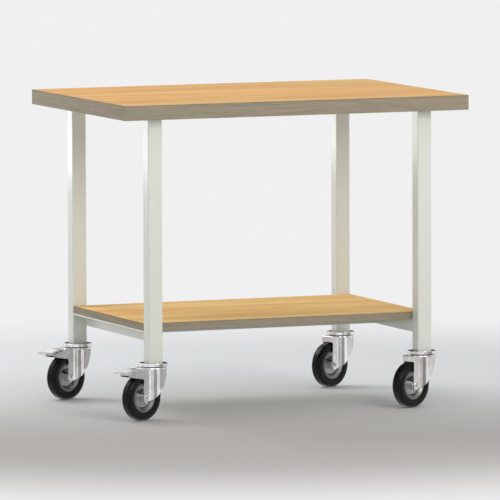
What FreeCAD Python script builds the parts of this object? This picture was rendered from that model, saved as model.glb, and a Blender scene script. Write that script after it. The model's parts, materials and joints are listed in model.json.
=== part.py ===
"""Mobile assembly table: a multiplex worktop on four square-tube legs, a lower shelf on angle rails,
and four swivel casters, the two at the left end with foot brakes.

Millimetres, +Z up. X runs along the worktop, Y from the front to the rear.
The origin lies on the floor, in the middle of the table's overall box.
A caster is modelled about its own swivel axis: U points where it trails, V along its wheel's axle.
"""
import FreeCAD, Part
import math
import os

# ---------------------------------------------------------------- worktop, legs and shelf
worktop_length = 1000.0
worktop_depth = 700.0
worktop_thickness = 40.0
worktop_corner_radius = 1.5
table_height = 850.0
end_overhang = 87.0
front_overhang = 54.0
rear_overhang = 42.0

leg_size = 40.0
leg_wall = 2.0
leg_corner_radius = 3.0
top_bar_thickness = 5.0

shelf_top_height = 257.0
shelf_thickness = 20.0
rail_height = 35.0
rail_thickness = 5.0
rail_root_radius = 4.0
rail_toe_radius = 2.0

screw_shank_diameter = 6.0
screw_head_diameter = 12.0
screw_head_height = 3.5
screw_head_chamfer = 1.2
screw_tip_radius = 0.6
screw_clearance = 0.05
worktop_screw_bite = 26.0
worktop_screws_per_bar = 4
worktop_screw_end_distance = 75.0
shelf_screw_bite = 13.0
shelf_screws_per_rail = 3
shelf_screw_end_distance = 60.0
cross_screw_end_distance = 190.0

# ---------------------------------------------------------------- casters: swivel head
brake_end_swivel_angle = 22.5
far_end_swivel_angle = 24.0
caster_height = 150.0
caster_trail = 45.0
head_diameter = 77.0
head_lip_height = 2.5
head_skirt_depth = 5.5
head_lip_edge = 1.0
head_inner_radius = 1.5
sheet_thickness = 2.5
ball_diameter = 6.0
ball_count = 8
ball_circle_diameter = 48.0
ball_play = 0.1
kingpin_diameter = 12.0
kingpin_head_width = 19.0
kingpin_head_height = 7.0
kingpin_bush_wall = 3.0
kingpin_flange_diameter = 32.0
kingpin_flange_thickness = 2.5
leg_plug_height = 12.0
thread_clearance = 0.05
running_clearance = 0.1
crown_drop = 8.0
kingpin_tip_gap = 1.0

# ---------------------------------------------------------------- casters: fork, axle and wheel
fork_gap = 34.0
crown_diameter = 72.0
crown_edge_radius = 3.0
crown_lip_depth = 4.5
crown_tail_reach = 56.0
rear_flange_depth = 16.0
fork_mouth_height = 122.0
fork_nose_reach = 14.0
fork_nose_height = 78.0
fork_nose_radius = 5.0
fork_waist_height = 70.0
fork_waist_diameter = 36.5
fork_bulge_height = 106.0
fork_bulge_diameter = 66.0
fork_skirt_width = 48.0
fork_column_place = 14.2
fork_column_diameter = 56.0
fork_trailing_edge = 52.5
fork_foot_height = 49.0
fork_end_radius = 9.0
fork_tail_radius = 2.0

axle_diameter = 8.0
axle_head_width = 13.0
axle_head_height = 5.0
axle_nut_height = 6.5
axle_tip_length = 2.0
sleeve_diameter = 12.0
bearing_wall = 3.1
bearing_length = 28.0

wheel_diameter = 125.0
tyre_width = 30.0
tyre_shoulder_radius = 9.0
tyre_seat_diameter = 75.0
tyre_root_diameter = 58.0
tyre_root_width = 3.0
tyre_bead_step = 1.0
tyre_bead_radius = 0.5
tyre_sidewall_height = 5.0
tyre_sidewall_radius = 3.0
rim_lip_height = 2.5
rim_lip_thickness = 1.5
rim_width = 26.0
rim_web_thickness = 6.0
rim_web_diameter = 50.0
rim_dish_radius = 3.0
rim_flare_width = 4.0
rim_flare_depth = 2.0
rim_edge_radius = 0.8
hub_wall = 3.3
hub_length = 32.0

# ---------------------------------------------------------------- casters: foot brake
cheek_reach = 108.0
cheek_slope_start = 58.0
cheek_tip_height = 129.0
cheek_tip_depth = 4.0
cheek_root_height = 113.0
cheek_root_radius = 5.0
cheek_belly = 99.0
cheek_belly_height = 120.5
cheek_belly_radius = 8.0
cheek_slope_radius = 8.0
pedal_reach = 140.0
pedal_width = 31.0
pedal_sheet = 2.5
pedal_flange_sheet = 2.0
pedal_flange_depth = 7.0
pedal_corner_radius = 6.0
pedal_heel = 58.0
pedal_knee = 86.0
pedal_knee_height = 141.5
pedal_dip = 115.0
pedal_dip_height = 133.5
pedal_dip_radius = 12.0
pedal_tip_height = 137.0
pedal_heel_drop = 2.0
pedal_knee_radius = 6.0
pedal_edge_radius = 1.5
pedal_ear_length = 8.0
pedal_ear_height = 121.0
pivot_offset = 64.0
pivot_height = 131.0
pivot_diameter = 6.0
shoe_start = 69.0
shoe_end = 81.0
shoe_top_height = 129.0
shoe_clearance = 0.4
pedal_travel = 10.0

# ---------------------------------------------------------------- worked-out places
bar_top = table_height - worktop_thickness
leg_top = bar_top - top_bar_thickness
leg_x = worktop_length / 2 - end_overhang - leg_size / 2
front_leg_y = -worktop_depth / 2 + front_overhang + leg_size / 2
rear_leg_y = worktop_depth / 2 - rear_overhang - leg_size / 2
shelf_front = front_leg_y + leg_size / 2
shelf_rear = rear_leg_y - leg_size / 2
rail_top = shelf_top_height - shelf_thickness
wheel_radius = wheel_diameter / 2

head_floor_bottom = caster_height - sheet_thickness
crown_top = caster_height - crown_drop
crown_bottom = crown_top - sheet_thickness
ball_groove_radius = ball_diameter / 2 + ball_play
ball_groove_height = (head_floor_bottom + crown_top) / 2
bush_radius = kingpin_diameter / 2 + thread_clearance + kingpin_bush_wall
bush_flange_top = crown_bottom - running_clearance
bush_flange_bottom = bush_flange_top - kingpin_flange_thickness
fork_half_width = fork_gap / 2 + sheet_thickness

LEFT, RIGHT = -1, 1
CORNERS = {
    "front_left": (-leg_x, front_leg_y),
    "front_right": (leg_x, front_leg_y),
    "rear_left": (-leg_x, rear_leg_y),
    "rear_right": (leg_x, rear_leg_y),
}
BRAKED = ("front_left", "rear_left")


def caster_turn(corner):
    """The angle about +Z from a caster's own axes to the table's, as it trails here."""
    return 180.0 + (brake_end_swivel_angle if corner in BRAKED else far_end_swivel_angle)


def pedal_extent(angle):
    """How far a pedal's rounded tip reaches from the swivel axis, along a world direction in degrees."""
    off = math.radians(angle - caster_turn(BRAKED[0]))
    along = (pedal_reach - pedal_corner_radius) * math.cos(off)
    across = (pedal_width / 2 - pedal_corner_radius) * abs(math.sin(off))
    return along + across + pedal_corner_radius


left_end = max(worktop_length / 2, leg_x + pedal_extent(180.0))
front_end = max(worktop_depth / 2, -front_leg_y + pedal_extent(270.0))
origin_shift = FreeCAD.Vector((left_end - worktop_length / 2) / 2, (front_end - worktop_depth / 2) / 2, 0)

UP = FreeCAD.Vector(0, 0, 1)
ALONG_V = FreeCAD.Vector(0, 1, 0)
ZERO = FreeCAD.Vector(0, 0, 0)


# ---------------------------------------------------------------- shape helpers
def box(x0, x1, y0, y1, z0, z1):
    return Part.makeBox(x1 - x0, y1 - y0, z1 - z0, FreeCAD.Vector(x0, y0, z0))


def post(radius, z0, z1, x=0.0, y=0.0):
    """An upright cylinder between two heights."""
    return Part.makeCylinder(radius, z1 - z0, FreeCAD.Vector(x, y, z0), UP)


def hexagon(width, z0, z1):
    """An upright hexagonal prism, given its width across the flats."""
    corner = width / math.sqrt(3)
    points = [(corner * math.cos(math.radians(60 * k)), corner * math.sin(math.radians(60 * k)), 0)
              for k in range(6)]
    return prism(points, z1 - z0).translate(FreeCAD.Vector(0, 0, z0))


def rounded_outline(points):
    """A closed wire in the XY plane through (x, y, radius) corners, each rounded by its own radius."""
    edges = []
    count = len(points)
    starts, ends, middles = [], [], []
    for k in range(count):
        here = FreeCAD.Vector(points[k][0], points[k][1], 0)
        before = FreeCAD.Vector(points[k - 1][0], points[k - 1][1], 0) - here
        after = FreeCAD.Vector(points[(k + 1) % count][0], points[(k + 1) % count][1], 0) - here
        radius = points[k][2]
        before.normalize()
        after.normalize()
        half = before.getAngle(after) / 2
        back = radius / math.tan(half)
        starts.append(here + before * back)
        ends.append(here + after * back)
        bisector = before + after
        if radius > 0:
            bisector.normalize()
        middles.append(here + bisector * (radius / math.sin(half) - radius))
    for k in range(count):
        if points[k][2] > 0:
            edges.append(Part.Arc(starts[k], middles[k], ends[k]).toShape())
        following = starts[(k + 1) % count]
        if ends[k].distanceToPoint(following) > 1e-6:
            edges.append(Part.makeLine(ends[k], following))
    return Part.Wire(edges)


def prism(points, height):
    """A rounded outline in the XY plane, raised by a height."""
    return Part.Face(rounded_outline(points)).extrude(FreeCAD.Vector(0, 0, height))


def side_plate(points, v0, v1):
    """A rounded outline drawn in U and Z, as thick as the distance from v0 to v1."""
    plate = prism(points, v1 - v0)
    plate.rotate(ZERO, FreeCAD.Vector(1, 0, 0), 90)
    return plate.translate(FreeCAD.Vector(0, v1, 0))


def turned(points, axis=UP):
    """A body of revolution from a rounded outline of (radius, height, corner radius) points."""
    face = Part.Face(rounded_outline(points))
    face.rotate(ZERO, FreeCAD.Vector(1, 0, 0), 90)
    body = face.revolve(ZERO, UP, 360)
    if axis is ALONG_V:
        body.rotate(ZERO, FreeCAD.Vector(1, 0, 0), -90)
    return body


def tube(outer, inner, half_length):
    """A plain ring about the V axis, through the origin."""
    return turned([(inner, -half_length, 0), (outer, -half_length, 0),
                   (outer, half_length, 0), (inner, half_length, 0)], ALONG_V)


def at_axle(shape):
    """Move a piece that was made about the V axis to the wheel's axle."""
    return shape.translate(FreeCAD.Vector(caster_trail, 0, wheel_radius))


# ---------------------------------------------------------------- worktop, legs and shelf
def wood_screw(bite, plate, x, y, seat):
    """A pan-head screw pointing up, its head under a plate whose lower face is at the seat height."""
    head = turned([(0, -screw_head_height, 0),
                   (screw_head_diameter / 2 - screw_head_chamfer, -screw_head_height, 0),
                   (screw_head_diameter / 2, screw_head_chamfer - screw_head_height, 0),
                   (screw_head_diameter / 2, 0, 0), (0, 0, 0)])
    shank = post(screw_shank_diameter / 2, 0, plate + bite - screw_shank_diameter / 2)
    tip = Part.makeCone(screw_shank_diameter / 2, screw_tip_radius, screw_shank_diameter / 2,
                        FreeCAD.Vector(0, 0, plate + bite - screw_shank_diameter / 2), UP)
    return head.fuse([shank, tip]).removeSplitter().translate(FreeCAD.Vector(x, y, seat))


def screw_hole(bite, x, y, seat, plate):
    radius = screw_shank_diameter / 2 + screw_clearance
    return post(radius, seat, seat + plate + bite, x, y)


def spread(first, last, count):
    return [first + (last - first) * k / (count - 1) for k in range(count)]


def worktop_screw_places():
    ys = spread(front_leg_y + worktop_screw_end_distance, rear_leg_y - worktop_screw_end_distance,
                worktop_screws_per_bar)
    return [(side * leg_x, y) for side in (LEFT, RIGHT) for y in ys]


def rail_screw_places():
    flange_middle = leg_x + rail_thickness / 2
    ys = spread(shelf_front + shelf_screw_end_distance, shelf_rear - shelf_screw_end_distance,
                shelf_screws_per_rail)
    return [(side * flange_middle, y) for side in (LEFT, RIGHT) for y in ys]


def cross_rail_web_y():
    return (shelf_front + shelf_rear) / 2 - rail_thickness / 2


def cross_screw_places():
    y = cross_rail_web_y() + (leg_size + rail_thickness) / 2
    return [(side * (leg_x - cross_screw_end_distance), y) for side in (LEFT, RIGHT)]


def board(half_x, y0, y1, z0, z1):
    """A flat board, even about the YZ plane, with slightly rounded upright corners."""
    corners = [(-half_x, y0), (half_x, y0), (half_x, y1), (-half_x, y1)]
    outline = [(x, y, worktop_corner_radius) for x, y in corners]
    return prism(outline, z1 - z0).translate(FreeCAD.Vector(0, 0, z0))


def worktop():
    top = board(worktop_length / 2, -worktop_depth / 2, worktop_depth / 2, bar_top, table_height)
    holes = [screw_hole(worktop_screw_bite, x, y, leg_top, top_bar_thickness)
             for x, y in worktop_screw_places()]
    return top.cut(holes)


def lower_shelf():
    shelf = board(leg_x + leg_size / 2, shelf_front, shelf_rear, rail_top, shelf_top_height)
    places = rail_screw_places() + cross_screw_places()
    return shelf.cut([screw_hole(shelf_screw_bite, x, y, rail_top - rail_thickness, rail_thickness)
                      for x, y in places])


def square(size, radius, height):
    half = size / 2
    corners = [(-half, -half), (half, -half), (half, half), (-half, half)]
    return prism([(x, y, radius) for x, y in corners], height)


def leg(x, y):
    height = leg_top - caster_height
    bore_size = leg_size - 2 * leg_wall
    bore_radius = max(leg_corner_radius - leg_wall, 0.5)
    pipe = square(leg_size, leg_corner_radius, height).cut(square(bore_size, bore_radius, height))
    return pipe.translate(FreeCAD.Vector(x, y, caster_height))


def top_bar(side):
    bar = box(side * leg_x - leg_size / 2, side * leg_x + leg_size / 2,
              front_leg_y - leg_size / 2, rear_leg_y + leg_size / 2, leg_top, bar_top)
    ends = [edge for edge in bar.Edges if abs(edge.tangentAt(edge.FirstParameter).z) > 0.9]
    bar = bar.makeFillet(leg_corner_radius, ends)
    return bar.cut([screw_hole(0, x, y, leg_top, top_bar_thickness) for x, y in worktop_screw_places()])


def angle_section():
    """The rail's angle: the flange on top from 0 to leg_size, the web hanging at the leg_size end."""
    return [(0, 0, rail_toe_radius * 0.5), (0, -rail_thickness, rail_toe_radius),
            (leg_size - rail_thickness, -rail_thickness, rail_root_radius),
            (leg_size - rail_thickness, -rail_height, rail_toe_radius),
            (leg_size, -rail_height, rail_toe_radius * 0.5), (leg_size, 0, rail_toe_radius * 0.5)]


def shelf_rail(side):
    """An angle between the legs of one end, its web flush with their inner faces."""
    rail = side_plate(angle_section(), 0, shelf_rear - shelf_front)
    if side is RIGHT:
        rail = rail.mirror(ZERO, FreeCAD.Vector(1, 0, 0))
    outer_face = side * (leg_x + leg_size / 2)
    rail.translate(FreeCAD.Vector(outer_face, shelf_front, rail_top))
    return rail.cut([screw_hole(0, x, y, rail_top - rail_thickness, rail_thickness)
                     for x, y in rail_screw_places()])


def shelf_cross_rail():
    """The same angle across the middle, its web at half the shelf's depth and its flange to the rear."""
    half_length = leg_x - leg_size / 2
    rail = side_plate(angle_section(), 0, 2 * half_length)
    rail.rotate(ZERO, UP, -90)
    rail = rail.translate(FreeCAD.Vector(-half_length, cross_rail_web_y() + leg_size, rail_top))
    return rail.cut([screw_hole(0, x, y, rail_top - rail_thickness, rail_thickness)
                     for x, y in cross_screw_places()])


def worktop_screws():
    return Part.makeCompound([wood_screw(worktop_screw_bite, top_bar_thickness, x, y, leg_top)
                              for x, y in worktop_screw_places()])


def shelf_screws():
    return Part.makeCompound([wood_screw(shelf_screw_bite, rail_thickness, x, y, rail_top - rail_thickness)
                              for x, y in rail_screw_places() + cross_screw_places()])


# ---------------------------------------------------------------- caster: what stays with the leg
def leg_plug():
    """A square plug at the tube's lower end, threaded for the kingpin."""
    size = leg_size - 2 * leg_wall
    plug = square(size, max(leg_corner_radius - leg_wall, 0.5), leg_plug_height)
    return plug.translate(FreeCAD.Vector(0, 0, caster_height)).cut(kingpin_bore())


def kingpin_bore():
    radius = kingpin_diameter / 2 + thread_clearance
    return post(radius, bush_flange_bottom, caster_height + leg_plug_height)


def ball_groove():
    centre = FreeCAD.Vector(0, 0, ball_groove_height)
    return Part.makeTorus(ball_circle_diameter / 2, ball_groove_radius, centre, UP)


def swivel_head():
    """The pressed dish under the leg: a floor over the balls, its wall standing above and below it."""
    outer, wall = head_diameter / 2, head_diameter / 2 - sheet_thickness
    lip_top = caster_height + head_lip_height
    dish = turned([(0, head_floor_bottom, 0), (wall, head_floor_bottom, head_inner_radius),
                   (wall, head_floor_bottom - head_skirt_depth + sheet_thickness, 0),
                   (outer, head_floor_bottom - head_skirt_depth + sheet_thickness, 0),
                   (outer, lip_top, head_lip_edge), (wall, lip_top, head_lip_edge),
                   (wall, caster_height, head_inner_radius), (0, caster_height, 0)])
    return dish.cut([kingpin_bore(), ball_groove()])


def kingpin_bush():
    """The flanged bush that the fork turns on, clamped under the dish."""
    flange = kingpin_flange_diameter / 2
    bush = turned([(0, bush_flange_bottom, 0), (flange, bush_flange_bottom, 0),
                   (flange, bush_flange_top, 0),
                   (bush_radius, bush_flange_top, 0), (bush_radius, head_floor_bottom, 0),
                   (0, head_floor_bottom, 0)])
    return bush.cut(kingpin_bore())


def kingpin():
    """The bolt that holds the whole caster: its head is under the bush and its thread in the plug."""
    tip = caster_height + leg_plug_height - kingpin_tip_gap
    head_bottom = bush_flange_bottom - kingpin_head_height
    head = hexagon(kingpin_head_width, head_bottom, bush_flange_bottom)
    return head.fuse(post(kingpin_diameter / 2, bush_flange_bottom, tip))


# ---------------------------------------------------------------- caster: what swivels
def bearing_balls():
    seat = ball_groove_height - ball_play
    balls = []
    for k in range(ball_count):
        angle = 2 * math.pi * k / ball_count
        centre = FreeCAD.Vector(ball_circle_diameter / 2 * math.cos(angle),
                                ball_circle_diameter / 2 * math.sin(angle), seat)
        balls.append(Part.makeSphere(ball_diameter / 2, centre))
    return Part.makeCompound(balls)


def bell(offset, bottom):
    """The bell under the dish, as a solid of revolution whose wall is drawn in by an offset."""
    top_radius, waist = crown_diameter / 2 - offset, fork_waist_diameter / 2 - offset
    bulge = fork_bulge_diameter / 2 - offset
    top, shoulder = crown_top - offset, crown_top - crown_edge_radius
    edge = max(crown_edge_radius - offset, 0.5)
    turn = math.sqrt(0.5) * edge
    corner = FreeCAD.Vector(top_radius - edge, 0, top - edge)
    start = FreeCAD.Vector(top_radius - edge, 0, top)
    side = FreeCAD.Vector(top_radius, 0, min(shoulder, top - edge))
    points = [FreeCAD.Vector(0, 0, bottom), FreeCAD.Vector(waist, 0, bottom),
              FreeCAD.Vector(waist, 0, fork_waist_height)]
    wire = Part.Wire([
        Part.makeLine(points[0], points[1]),
        Part.makeLine(points[1], points[2]),
        Part.Arc(points[2], FreeCAD.Vector(bulge, 0, fork_bulge_height), side).toShape(),
        Part.Arc(side, corner + FreeCAD.Vector(turn, 0, turn), start).toShape(),
        Part.makeLine(start, FreeCAD.Vector(0, 0, top)),
        Part.makeLine(FreeCAD.Vector(0, 0, top), points[0])])
    return Part.Face(wire).revolve(ZERO, UP, 360)


def skirt(offset, bottom):
    """The bell cut flat at both sides, as a solid drawn in by an offset."""
    half = fork_skirt_width / 2 - offset
    slab = box(-crown_diameter, crown_diameter, -half, half, bottom, crown_top)
    return bell(offset, bottom).common(slab)


def crown():
    """The disc on top, which carries the balls, with its edge turned down."""
    lip = crown_top - crown_lip_depth
    disc = turned([(0, lip, 0), (crown_diameter / 2, lip, 0),
                   (crown_diameter / 2, crown_top, crown_edge_radius), (0, crown_top, 0)])
    return disc.cut(post(crown_diameter / 2 - sheet_thickness, lip - 1, crown_bottom))


def column(offset, bottom):
    """The upright round that stands out from both sides, as a solid drawn in by an offset."""
    top = crown_top - offset
    edge = max(crown_edge_radius - offset, 0)
    round_column = turned([(0, bottom, 0), (fork_column_diameter / 2 - offset, bottom, 0),
                           (fork_column_diameter / 2 - offset, top, edge), (0, top, 0)])
    return round_column.translate(FreeCAD.Vector(fork_column_place, 0, 0))


def lower_edge():
    """The ends of the fork's slanting lower edge, which runs down to the round of its foot."""
    nose = (-fork_nose_reach, fork_nose_height)
    run = fork_trailing_edge - fork_end_radius - nose[0]
    rise = fork_foot_height + fork_end_radius - nose[1]
    slope = math.atan2(rise, run) - math.asin(fork_end_radius / math.hypot(run, rise))
    return nose, (fork_trailing_edge, nose[1] + (fork_trailing_edge - nose[0]) * math.tan(slope))


def fork_outline(braked):
    """The fork seen along the axle, in U and Z."""
    nose, foot = lower_edge()
    front = -crown_diameter
    flange_bottom = crown_top - rear_flange_depth
    outline = [(front, crown_top, 0), (front, fork_mouth_height, 0),
               (-crown_diameter / 2, fork_mouth_height, 0), (nose[0], nose[1], fork_nose_radius),
               (foot[0], foot[1], fork_end_radius)]
    trailing = fork_trailing_edge
    if braked:
        return outline + [(trailing, cheek_root_height, cheek_root_radius),
                          (cheek_belly, cheek_belly_height, cheek_belly_radius),
                          (cheek_reach, cheek_tip_height - cheek_tip_depth, fork_tail_radius),
                          (cheek_reach, cheek_tip_height, fork_tail_radius),
                          (cheek_slope_start, crown_top, cheek_slope_radius)]
    return outline + [(trailing, flange_bottom, 0), (crown_tail_reach, flange_bottom, 0),
                      (crown_tail_reach, crown_top, fork_tail_radius)]


def fork(braked):
    """A fork pressed from sheet: a bell around the kingpin between two flat sides, each with a column."""
    below = fork_foot_height - fork_end_radius
    reach = cheek_reach if braked else crown_tail_reach
    front = -fork_nose_reach / 2
    tail = box(front, reach, -fork_half_width, fork_half_width, below, crown_top)
    tail = tail.makeFillet(crown_edge_radius, [edge for edge in tail.Edges
                                               if abs(edge.CenterOfMass.z - crown_top) < 1e-6
                                               and abs(edge.CenterOfMass.y) > 1])
    hollow = box(front - 1, reach - sheet_thickness, -fork_gap / 2, fork_gap / 2, below - 1, crown_bottom)
    below_flange = crown_top - rear_flange_depth
    way_out = box(0, reach + 1, -fork_gap / 2, fork_gap / 2, below - 1, below_flange)
    if braked:
        way_out = box(crown_tail_reach, reach + 1, -fork_gap / 2, fork_gap / 2, below - 1, crown_top + 1)
    body = skirt(0, below).fuse([tail, column(0, below)])
    hollows = [skirt(sheet_thickness, below - 1), column(sheet_thickness, below - 1)]
    body = body.cut(hollows + [hollow, way_out]).fuse(crown())
    body = body.common(side_plate(fork_outline(braked), -crown_diameter, crown_diameter))
    holes = [post(bush_radius + running_clearance, crown_bottom - 1, crown_top + 1), ball_groove(),
             at_axle(tube(axle_diameter / 2 + thread_clearance, 0, fork_half_width + 1))]
    if braked:
        holes.append(at_pivot(pivot_diameter / 2, fork_half_width + 1))
    return body.cut(holes)


def axle_sleeve():
    """The tube that the fork's sides clamp and the wheel runs on."""
    return at_axle(tube(sleeve_diameter / 2, axle_diameter / 2 + thread_clearance, fork_gap / 2))


def axle_bolt():
    """A hexagon bolt through the fork, with its nut at the far side."""
    near, far = fork_half_width, -fork_half_width - axle_nut_height
    shank = post(axle_diameter / 2, far - axle_tip_length, near)
    bolt = hexagon(axle_head_width, near, near + axle_head_height).fuse(shank)
    bore = post(axle_diameter / 2 + thread_clearance, far - 1, -fork_half_width + 1)
    nut = hexagon(axle_head_width, far, -fork_half_width).cut(bore)
    pair = Part.makeCompound([bolt, nut])
    pair.rotate(ZERO, FreeCAD.Vector(1, 0, 0), -90)
    return at_axle(pair)


# ---------------------------------------------------------------- caster: what rolls
def rim_outer_face(sign):
    """The rim's face at one side, from the hub out to the lip, in radius and place along the axle."""
    web, edge = rim_web_thickness / 2, rim_width / 2
    hub, seat = hub_radius(), tyre_seat_diameter / 2
    face = [(hub, web, 0), (rim_web_diameter / 2, web, rim_dish_radius),
            (seat - rim_flare_width, edge - rim_flare_depth, rim_flare_depth),
            (seat - rim_flare_width / 2, edge, rim_edge_radius), (seat + rim_lip_height, edge, 0)]
    return [(radius, sign * along, corner) for radius, along, corner in face]


def hub_radius():
    return sleeve_diameter / 2 + running_clearance + bearing_wall + hub_wall


def wheel_rim():
    """Two pressed discs back to back around a hub tube, spread apart towards the tyre's seat."""
    seat, root = tyre_seat_diameter / 2, tyre_root_diameter / 2
    lip_inside, root_half = rim_width / 2 - rim_lip_thickness, tyre_root_width / 2
    channel = [(seat + rim_lip_height, lip_inside, 0), (seat, lip_inside, 0), (root, root_half, 0),
               (root, -root_half, 0), (seat, -lip_inside, 0), (seat + rim_lip_height, -lip_inside, 0)]
    hub, bore = hub_radius(), sleeve_diameter / 2 + running_clearance + bearing_wall
    half = hub_length / 2
    tube_end = [(hub, -half, 0), (bore, -half, 0), (bore, half, 0), (hub, half, 0)]
    outline = rim_outer_face(1) + channel + rim_outer_face(-1)[::-1] + tube_end
    return at_axle(turned(outline, ALONG_V))


def tyre():
    """Solid rubber with a rounded tread, rooted between the rim's discs and covering the lips' edges."""
    seat, root, half = tyre_seat_diameter / 2, tyre_root_diameter / 2, tyre_width / 2
    lip_inside, lip_top = rim_width / 2 - rim_lip_thickness, seat + rim_lip_height
    side = [(root, tyre_root_width / 2, 0), (seat, lip_inside, 0), (lip_top, lip_inside, 0),
            (lip_top, half - tyre_bead_step, tyre_bead_radius),
            (lip_top + tyre_sidewall_height, half, tyre_sidewall_radius),
            (wheel_radius, half, tyre_shoulder_radius)]
    mirrored = [(radius, -along, corner) for radius, along, corner in side[::-1]]
    return at_axle(turned(side + mirrored, ALONG_V))


def wheel_bearing():
    inner = sleeve_diameter / 2 + running_clearance
    return at_axle(tube(inner + bearing_wall, inner, bearing_length / 2))


# ---------------------------------------------------------------- caster: foot brake
def at_pivot(radius, half_length):
    return tube(radius, 0, half_length).translate(FreeCAD.Vector(pivot_offset, 0, pivot_height))


def tyre_clearance():
    """The tyre with its clearance, as it stands to the raised pedal once that is pressed down."""
    clear = at_axle(tube(wheel_radius + shoe_clearance, 0, fork_gap))
    clear.rotate(FreeCAD.Vector(pivot_offset, 0, pivot_height), ALONG_V, -pedal_travel)
    return clear


def brake_pedal():
    """A pressed pedal with turned-down edges, whose ears hang on the pivot and carry the shoe."""
    half = pedal_width / 2
    top = [(pedal_heel, pedal_knee_height - pedal_heel_drop, pedal_edge_radius),
           (pedal_knee, pedal_knee_height, pedal_knee_radius),
           (pedal_dip, pedal_dip_height, pedal_dip_radius), (pedal_reach, pedal_tip_height, 0)]
    bottom = [(pedal_reach, pedal_tip_height - pedal_flange_depth, pedal_edge_radius),
              (pedal_dip, pedal_dip_height - pedal_flange_depth, pedal_dip_radius),
              (shoe_end + pedal_ear_length, pedal_dip_height - pedal_flange_depth, pedal_knee_radius),
              (shoe_end, pedal_ear_height, pedal_edge_radius),
              (shoe_start, pedal_ear_height, pedal_edge_radius),
              (pedal_heel, pivot_height - pivot_diameter, 2 * pedal_edge_radius)]
    outline = top + bottom
    solid = side_plate(outline, -half, half)
    plan = prism([(0, -half, 0), (pedal_reach, -half, pedal_corner_radius),
                  (pedal_reach, half, pedal_corner_radius), (0, half, 0)], table_height)
    inner = half - pedal_flange_sheet
    toe = pedal_reach - pedal_flange_sheet
    open_heel = pedal_heel - 1
    under = [(open_heel, top[0][1] - pedal_sheet, 0),
             (pedal_knee, pedal_knee_height - pedal_sheet, pedal_knee_radius),
             (pedal_dip, pedal_dip_height - pedal_sheet, pedal_dip_radius),
             (toe, pedal_tip_height - pedal_sheet, 0), (toe, 0, 0), (open_heel, 0, 0)]
    hollow = side_plate(under, -inner, inner)
    pin_hole = at_pivot(pivot_diameter / 2 + running_clearance, half + 1)
    return solid.common(plan).cut([hollow, tyre_clearance(), pin_hole])


def brake_shoe():
    """The block between the pedal's ears, hollowed to the tyre's curve."""
    inner = pedal_width / 2 - pedal_flange_sheet
    block = box(shoe_start, shoe_end, -inner, inner, wheel_radius, shoe_top_height)
    return block.cut(tyre_clearance())


def pivot_pin():
    return at_pivot(pivot_diameter / 2, fork_half_width)


# ---------------------------------------------------------------- assembly
def write(name, shape):
    """Put a finished piece about the model's origin and save it."""
    placed = shape.copy()
    placed.translate(origin_shift)
    placed.exportStep(os.path.join("parts", name + ".step"))


def on_caster(shape, corner):
    """Turn a caster's piece to where it trails and carry it to its leg."""
    placed = shape.copy()
    placed.rotate(ZERO, UP, caster_turn(corner))
    x, y = CORNERS[corner]
    placed.translate(FreeCAD.Vector(x, y, 0))
    return placed


def write_frame():
    write("worktop", worktop())
    write("lower_shelf", lower_shelf())
    for corner, (x, y) in CORNERS.items():
        write("leg_" + corner, leg(x, y))
    for name, side in (("left", LEFT), ("right", RIGHT)):
        write("top_bar_" + name, top_bar(side))
        write("shelf_rail_" + name, shelf_rail(side))
    write("shelf_cross_rail", shelf_cross_rail())
    write("worktop_screws", worktop_screws())
    write("shelf_screws", shelf_screws())


def write_casters():
    plug, head, bush, bolt = leg_plug(), swivel_head(), kingpin_bush(), kingpin()
    plugs = [plug.copy().translate(FreeCAD.Vector(x, y, 0)) for x, y in CORNERS.values()]
    write("leg_plugs", Part.makeCompound(plugs))
    write("kingpin_bushes", Part.makeCompound([on_caster(bush, corner) for corner in CORNERS]))
    write("kingpin_bolts", Part.makeCompound([on_caster(bolt, corner) for corner in CORNERS]))
    forks = {True: fork(True), False: fork(False)}
    swivelling = {"bearing_balls": bearing_balls(), "axle_sleeve": axle_sleeve(), "axle_bolt": axle_bolt()}
    rolling = {"wheel_rim": wheel_rim(), "tyre": tyre(), "wheel_bearing": wheel_bearing()}
    braking = {"brake_pedal": brake_pedal(), "brake_shoe": brake_shoe(), "pivot_pin": pivot_pin()}
    for corner in CORNERS:
        write("swivel_head_" + corner, on_caster(head, corner))
        write("fork_" + corner, on_caster(forks[corner in BRAKED], corner))
        for name, shape in {**swivelling, **rolling}.items():
            write(name + "_" + corner, on_caster(shape, corner))
    for corner in BRAKED:
        for name, shape in braking.items():
            write(name + "_" + corner, on_caster(shape, corner))


os.makedirs("parts", exist_ok=True)
write_frame()
write_casters()
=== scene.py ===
"""The looks of the assembly table: its finishes, fasteners and weld beads, with camera, lights and floor.

Metres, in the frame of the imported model: X along the worktop, Y from the front to the rear, Z up.
"""
import json
import math

import bpy
import numpy as np
from mathutils import Matrix, Vector


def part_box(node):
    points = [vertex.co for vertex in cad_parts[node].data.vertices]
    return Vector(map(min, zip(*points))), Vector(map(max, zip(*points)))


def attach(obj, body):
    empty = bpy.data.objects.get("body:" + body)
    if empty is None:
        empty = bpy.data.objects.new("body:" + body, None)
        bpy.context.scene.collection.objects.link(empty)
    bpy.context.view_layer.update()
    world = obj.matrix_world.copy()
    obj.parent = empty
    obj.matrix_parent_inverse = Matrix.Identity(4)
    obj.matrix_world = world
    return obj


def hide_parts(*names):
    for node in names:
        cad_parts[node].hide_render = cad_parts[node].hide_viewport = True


MM = 0.001

# ---------------------------------------------------------------- camera and studio
CAMERA_YAW = 22.345
CAMERA_PITCH = 5.229
CAMERA_ROLL = -0.173
CAMERA_DISTANCE = 20.971
CAMERA_TARGET = (0.01215, 0.0, 0.418)
CAMERA_FOCAL = 7680.1
FRAME_PIXELS = 500
SENSOR_WIDTH = 36.0
FRAME_OFFSET = 1.0
CAMERA_REACH = (1.0, 200.0)

FLOOR_RADII = (0.01, 2.0, 5.0, 40.0)
FLOOR_SIDES = 128
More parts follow.
